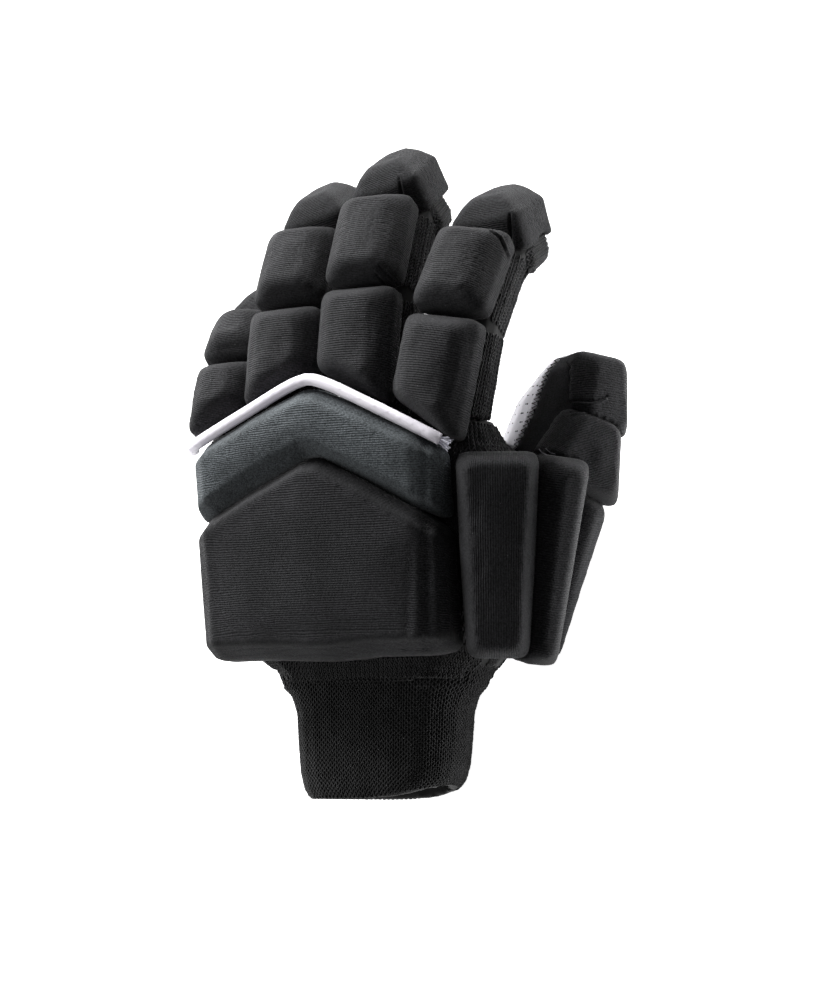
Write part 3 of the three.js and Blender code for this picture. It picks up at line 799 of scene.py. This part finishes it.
def setting_tree(name, looped):
    """Sets a knitted loop or a punched hole on each guide point."""
    tree = bpy.data.node_groups.new(name, "GeometryNodeTree")
    for label, kind in (("Guide", "Geometry"), ("Width", "Float"), ("Length", "Float"),
                        ("Thickness", "Float"), ("Unevenness", "Float"), ("Seed", "Int"),
                        ("Material", "Material")):
        tree.interface.new_socket(label, in_out="INPUT", socket_type=f"NodeSocket{kind}")
    tree.interface.new_socket("Geometry", in_out="OUTPUT", socket_type="NodeSocketGeometry")
    given = add_node(tree, "NodeGroupInput").outputs
    reach = calculate(tree, "MULTIPLY", given["Length"], 0.5)
    back_reach = calculate(tree, "MULTIPLY", given["Length"], -0.5)
    if looped:
        both = add_node(tree, "GeometryNodeJoinGeometry")
        for sign in (0.5, -0.5):
            wide = calculate(tree, "MULTIPLY", given["Width"], sign * 0.92)
            middle = calculate(tree, "MULTIPLY", given["Width"], sign * 0.6)
            narrow = calculate(tree, "MULTIPLY", given["Width"], sign * 0.16)
            raised = calculate(tree, "MULTIPLY", given["Thickness"], 1.5)
            ends = [
                add_node(tree, "ShaderNodeCombineXYZ", {0: wide, 1: reach}).outputs[0],
                add_node(tree, "ShaderNodeCombineXYZ", {0: middle, 2: raised}).outputs[0],
                add_node(tree, "ShaderNodeCombineXYZ", {0: narrow, 1: back_reach}).outputs[0],
            ]
            tree.links.new(strand(tree, given, ends), both.inputs[0])
        shape = both.outputs[0]
    else:
        half = calculate(tree, "MULTIPLY", given["Width"], 0.5)
        shape = add_node(tree, "GeometryNodeMeshCylinder",
                         {"Vertices": 10, "Radius": half, "Depth": given["Thickness"]}).outputs[0]
    outward = add_node(tree, "GeometryNodeInputNamedAttribute", {"Name": "outward"},
                       data_type="FLOAT_VECTOR").outputs[0]
    onward = add_node(tree, "GeometryNodeInputNamedAttribute", {"Name": "onward"},
                      data_type="FLOAT_VECTOR").outputs[0]
    turn = add_node(tree, "FunctionNodeAxesToRotation", {0: outward, 1: onward},
                    primary_axis="Z", secondary_axis="Y").outputs[0]
    size = add_node(tree, "FunctionNodeRandomValue",
                    {2: calculate(tree, "SUBTRACT", 1.0, given["Unevenness"]),
                     3: calculate(tree, "ADD", 1.0, given["Unevenness"]),
                     "Seed": given["Seed"]}, data_type="FLOAT").outputs[1]
    placed = add_node(tree, "GeometryNodeInstanceOnPoints",
                      {"Points": given["Guide"], "Instance": shape, "Rotation": turn,
                       "Scale": size}).outputs[0]
    real = add_node(tree, "GeometryNodeRealizeInstances", {0: placed}).outputs[0]
    painted = add_node(tree, "GeometryNodeSetMaterial",
                       {"Geometry": real, "Material": given["Material"]}).outputs[0]
    add_node(tree, "NodeGroupOutput", {"Geometry": painted})
    return tree


KNIT_TREE = setting_tree("knitted_loops", looped=True)
HOLE_TREE = setting_tree("punched_holes", looped=False)


def set_along(name, tree, guide, material, width, length, thickness, uneven):
    """guide is a list of (point, outward, onward). Makes one plain mesh of all the shapes."""
    mesh = bpy.data.meshes.new(name)
    mesh.from_pydata([tuple(p) for p, _, _ in guide], [], [])
    for key, index in (("outward", 1), ("onward", 2)):
        values = np.array([tuple(g[index]) for g in guide], dtype=np.float32)
        mesh.attributes.new(key, "FLOAT_VECTOR", "POINT").data.foreach_set("vector", values.ravel())
    piece = new_object(name, mesh)
    modifier = piece.modifiers.new("set", "NODES")
    modifier.node_group = tree
    values = {"Width": width * MM, "Length": length * MM, "Thickness": thickness * MM,
              "Unevenness": uneven, "Seed": SEED, "Material": material}
    for item in tree.interface.items_tree:
        if item.in_out == "INPUT" and item.name in values:
            modifier[item.identifier] = values[item.name]
    finished_mesh(piece)
    shade_smooth(piece.data)
    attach(piece, BODY)
    return piece


def covered(point, outward, hidden):
    """True under a pad, where nothing shows."""
    return hidden.ray_cast(point + outward * 0.3 * MM, outward, COVER_REACH * MM)[0] is not None


def around(row, angle):
    centre, _, across, out = row[:4]
    return centre, across * math.cos(angle) + out * math.sin(angle)


def even_angles(row, surface, pitch):
    """Angles round a row that are the same way apart on the surface."""
    angles = [2 * math.pi * i / 240 for i in range(241)]
    spots = []
    for angle in angles:
        centre, outward = around(row, angle)
        point = surface.ray_cast(centre + outward * RAY_START, -outward)[0]
        spots.append(centre if point is None else point)
    lengths = [0.0]
    for a, b in zip(spots, spots[1:]):
        lengths.append(lengths[-1] + min((b - a).length, 3 * MM))
    count = round(lengths[-1] / (pitch * MM))
    wanted = [(i + 0.5) * lengths[-1] / count for i in range(count)]
    return [float(angle) for angle in np.interp(wanted, lengths, angles)]


def wrapped_guide(rows, surface, angles, hidden, keep=lambda point: True, stagger=False):
    """Guide points on a surface round a path; rows are (centre, axis, across, out) in order.
    A fifth part of a row is how far it is set back on the side that across points to."""
    guide = []
    for number, row in enumerate(rows):
        shift = (angles[1] - angles[0]) / 2 if stagger and number % 2 else 0
        axis = row[1]
        for angle in angles:
            centre, outward = around(row, angle + shift)
            if len(row) > 4:
                centre = centre + axis * row[4] * max(math.cos(angle + shift), 0) ** 2
            point, normal, _, _ = surface.ray_cast(centre + outward * RAY_START, -outward)
            if point is None or normal.dot(outward) < 0.2 or not keep(point):
                continue
            if covered(point, normal, hidden):
                continue
            onward = (axis - normal * axis.dot(normal)).normalized()
            guide.append((point, normal, onward))
    return guide


def straight_rows(first, last, step, centre_at):
    rows = []
    y = first
    while y < last:
        rows.append((place(*centre_at(y)), Vector((0, 1, 0)), Vector((1, 0, 0)), Vector((0, 0, 1))))
        y += step
    return rows


def finger_rows(finger, step):
    sizes = FINGERS[finger]
    rows = []
    depth = sizes["height"] / 2 * MM
    for bone, length in enumerate(sizes["lengths"]):
        along = (2, 4, 6)[bone]
        while along < length - 3:
            point, axis, across, out = bone_frame(finger, bone, along)
            rows.append((point - out * depth, axis, across, out))
            along += step
    return rows


def knit_on(name, rows, surface, knit, hidden, keep=lambda point: True):
    middle = rows[len(rows) // 3]
    angles = even_angles(middle, surface, knit["width"])
    guide = wrapped_guide(rows, surface, angles, hidden, keep, knit["stagger"])
    yarn = CUFF_YARN if knit["yarn"] == "cuff" else KNIT_YARN
    set_along(name, KNIT_TREE, guide, yarn,
              knit["width"], knit["step"] * 1.25, knit["strand"], uneven=0.1)


def make_knit(shells, covers):
    pads = surface_of(*covers.values())
    rows = straight_rows(CUFF_OPEN_END + 0.7, CUFF_HAND_END + CUFF_OVERLAP, CUFF_KNIT["step"],
                         lambda y: (CUFF_MIDDLE[0], y, CUFF_MIDDLE[1]))
    ys, backs = zip(*CUFF_SET_BACK)
    rows = [(*row, np.interp(row[0].y / MM - SHIFT.y, ys, backs) * MM) for row in rows]
    surface = surface_of(shells["knit_cuff"])
    knit_on("cuff_loops_above", rows, surface, CUFF_KNIT, pads,
            lambda p: p.z > CUFF_MIDDLE[1] * MM)
    knit_on("cuff_loops_below", rows, surface, CUFF_KNIT, pads,
            lambda p: 0.9 * MM < p.z <= CUFF_MIDDLE[1] * MM)
    for finger in FINGERS:
        knit_on(f"{finger}_loops", finger_rows(finger, GUSSET_KNIT["step"]),
                surface_of(shells[f"{finger}_gusset"]), GUSSET_KNIT, pads)
    back = surface_of(shells["back_liner"])
    for half, first, last in (("rear", 4, 44.5), ("front", 44.5, 85)):
        rows = straight_rows(first, last, GUSSET_KNIT["step"], lambda y: (2, y, 22 + 0.12 * y))
        knit_on(f"back_loops_{half}", rows, back, GUSSET_KNIT, pads)
    rows = straight_rows(-9.4, 4, CUFF_KNIT["step"], lambda y: (2, y, 22))
    knit_on("cuff_loops_on_back", rows, back, CUFF_KNIT, pads)


# Thumb leather: rows of punched holes, and the toothed stitching along its edge

def thumb_seam_point(y):
    """Where the seam is on the upper side of the thumb: its height and the way to look at it."""
    ys, xs, zs = zip(*THUMB_SEAM)
    slant = math.radians(THUMB_SEAM_SLANT)
    way = Vector((math.cos(slant), 0, -math.sin(slant)))
    return place(np.interp(y, ys, xs), y, np.interp(y, ys, zs)) - way * 0.06, way


def make_thumb_sewing(shells, covers):
    pads = surface_of(*covers.values())
    leather = surface_of(shells["thumb_leather"])
    thumb = surface_of(shells["thumb_leather"], shells["thumb_panel"])
    rows = straight_rows(*HOLE_SPAN, HOLE_PITCH,
                         lambda y: (53 + 0.22 * (y - 52), y, 19 - 0.1 * (y - 52)))
    angles = even_angles(rows[3], thumb, HOLE_PITCH)
    guide = wrapped_guide(rows, leather, angles, pads, lambda p: p.z > 2 * MM, stagger=True)
    set_along("leather_holes", HOLE_TREE, guide, HOLE_SHADE,
              HOLE_WIDTH, HOLE_WIDTH, HOLE_DEPTH, uneven=0.2)
    slant = math.radians(THUMB_SEAM_SLANT)
    downward = Vector((-math.sin(slant), 0, -math.cos(slant)))
    line = []
    y = STITCH_SPAN[0]
    side = 0
    while y < STITCH_SPAN[1]:
        start, way = thumb_seam_point(y)
        start += downward * TOOTH_SIDES[side] * MM
        point, normal, _, _ = thumb.ray_cast(start, way)
        if point is not None:
            line.append(point + normal * 0.12 * MM)
        side = 1 - side
        y += TOOTH_PITCH / 2
    tubes("thumb_overlock", [line], TOOTH_RADIUS, BLACK_THREAD)


# Loose ends: frayed cord at the end of the piping, and threads that were left long

def make_loose_ends(shells, covers):
    chance = random.Random(SEED)
    right_x, right_y = BAND_RIGHT_END
    x = right_x + 0.6
    y = right_y - 0.3 + 1.75
    core = place(x, y, back_height(x, y) + 10)
    along = Vector((0.87, -0.45, -0.18)).normalized()
    across = along.cross(Vector((0, 0, 1))).normalized()
    rise = across.cross(along)
    fibres = []
    for _ in range(FRAY_COUNT):
        angle = chance.uniform(0, 2 * math.pi)
        size = chance.uniform(0, 1.3) * MM
        way = across * math.cos(angle) + rise * math.sin(angle) * 0.6
        start = core + way * size
        length = chance.uniform(2.2, 4.6) * MM
        bend = way * chance.uniform(0.1, 0.5) * length
        droop = Vector((0, 0, -chance.uniform(0.0, 0.3) * length))
        fibres.append([start - along * 0.8 * MM, start + along * length * 0.5 + bend * 0.35,
                       start + along * length + bend + droop])
    tubes("frayed_piping_end", fibres, THREAD_RADIUS, WHITE_THREAD)
    seen = surface_of(*covers.values(), shells["thumb_panel"], shells["back_liner"])
    threads = []
    for pixels in (((540, 449), (543, 452), (547, 456)), ((546, 449), (551, 452), (558, 456))):
        line = []
        for number, pixel in enumerate(pixels):
            point, normal, _, _ = seen.ray_cast(EYE, sight_line(pixel))
            if point is not None:
                line.append(point + normal * (0.5 + 0.6 * (number == 1)) * MM)
        if len(line) > 1:
            threads.append(line)
    tubes("loose_threads", threads, THREAD_RADIUS, PALE_THREAD)


# Piping

def make_piping():
    cord = remeshed("knuckle_piping", "knuckle_piping_cord", PIPING_VOXEL, 12)
    # The cut end of the tape is pressed flat
    points = coordinates(cord.data)
    end = (BAND_RIGHT_END[0] + 1 + SHIFT.x) * MM
    pressed = PRESSED_LENGTH * MM
    part = np.clip((points[:, 0] - end + pressed) / pressed, 0, 1)
    near_end = points[:, 0] > end - 8 * MM
    middle = points[near_end, 2].mean()
    points[:, 2] += (middle - points[:, 2]) * 0.55 * part ** 2
    set_coordinates(cord.data, points)
    finish_piece(cord, "knuckle_piping", WHITE_PIPING)


# Camera, floor and lights

def make_camera():
    data = bpy.data.cameras.new("camera")
    data.sensor_fit = "HORIZONTAL"
    data.sensor_width = 36
    data.lens = 36 * CAMERA_DISTANCE / (PHOTO_SIZE[0] * MM_PER_PIXEL * MM)
    data.clip_start = 0.05
    data.clip_end = 20
    camera = bpy.data.objects.new("camera", data)
    bpy.context.scene.collection.objects.link(camera)
    camera.matrix_world = Matrix((
        (RIGHT.x, UP.x, BACK.x, EYE.x),
        (RIGHT.y, UP.y, BACK.y, EYE.y),
        (RIGHT.z, UP.z, BACK.z, EYE.z),
        (0, 0, 0, 1),
    ))
    bpy.context.scene.camera = camera


def make_floor():
    mesh = bpy.data.meshes.new("floor")
    mesh.from_pydata([(-3, -3, 0), (3, -3, 0), (3, 3, 0), (-3, 3, 0)], [], [(0, 1, 2, 3)])
    # Light table: matt opal acrylic, lit from below
    material, tree, shader = new_material("backlit_opal_acrylic")
    shader.inputs["Base Color"].default_value = colour("#f6f6f6")
    shader.inputs["Roughness"].default_value = 0.9
    shader.inputs["Emission Color"].default_value = colour("#ffffff")
    # A stronger lamp under a strip beside the thumb
    spot = add_node(tree, "ShaderNodeTexCoord").outputs["Object"]
    side = add_node(tree, "ShaderNodeSeparateXYZ", {0: spot}).outputs["X"]
    from_strip = calculate(tree, "ABSOLUTE", calculate(tree, "SUBTRACT", side, STRIP_MIDDLE))
    glow = spread(tree, from_strip, 0.025, 0.05, TABLE_GLOW_STRIP, TABLE_GLOW)
    tree.links.new(glow, shader.inputs["Emission Strength"])
    new_object("floor", mesh, material)


def make_light(name, position, size, power):
    data = bpy.data.lights.new(name, "AREA")
    data.shape = "RECTANGLE"
    data.size, data.size_y = size
    data.energy = power
    light = bpy.data.objects.new(name, data)
    light.location = position
    aim = Vector(LIGHT_AIM) - Vector(position)
    light.rotation_euler = aim.to_track_quat("-Z", "Y").to_euler()
    bpy.context.scene.collection.objects.link(light)


def make_lights():
    for name, settings in LIGHTS.items():
        make_light(name, *settings)
    world = bpy.data.worlds.new("studio")
    world.use_nodes = True
    world.node_tree.nodes["Background"].inputs[0].default_value = colour("#ffffff")
    world.node_tree.nodes["Background"].inputs[1].default_value = ROOM_GLOW
    bpy.context.scene.world = world


make_camera()
make_floor()
make_lights()
pad_covers = make_pads()
glove_shells = make_shells()
make_piping()
make_knit(glove_shells, pad_covers)
make_thumb_sewing(glove_shells, pad_covers)
make_loose_ends(glove_shells, pad_covers)

bpy.context.scene.view_settings.view_transform = "Standard"
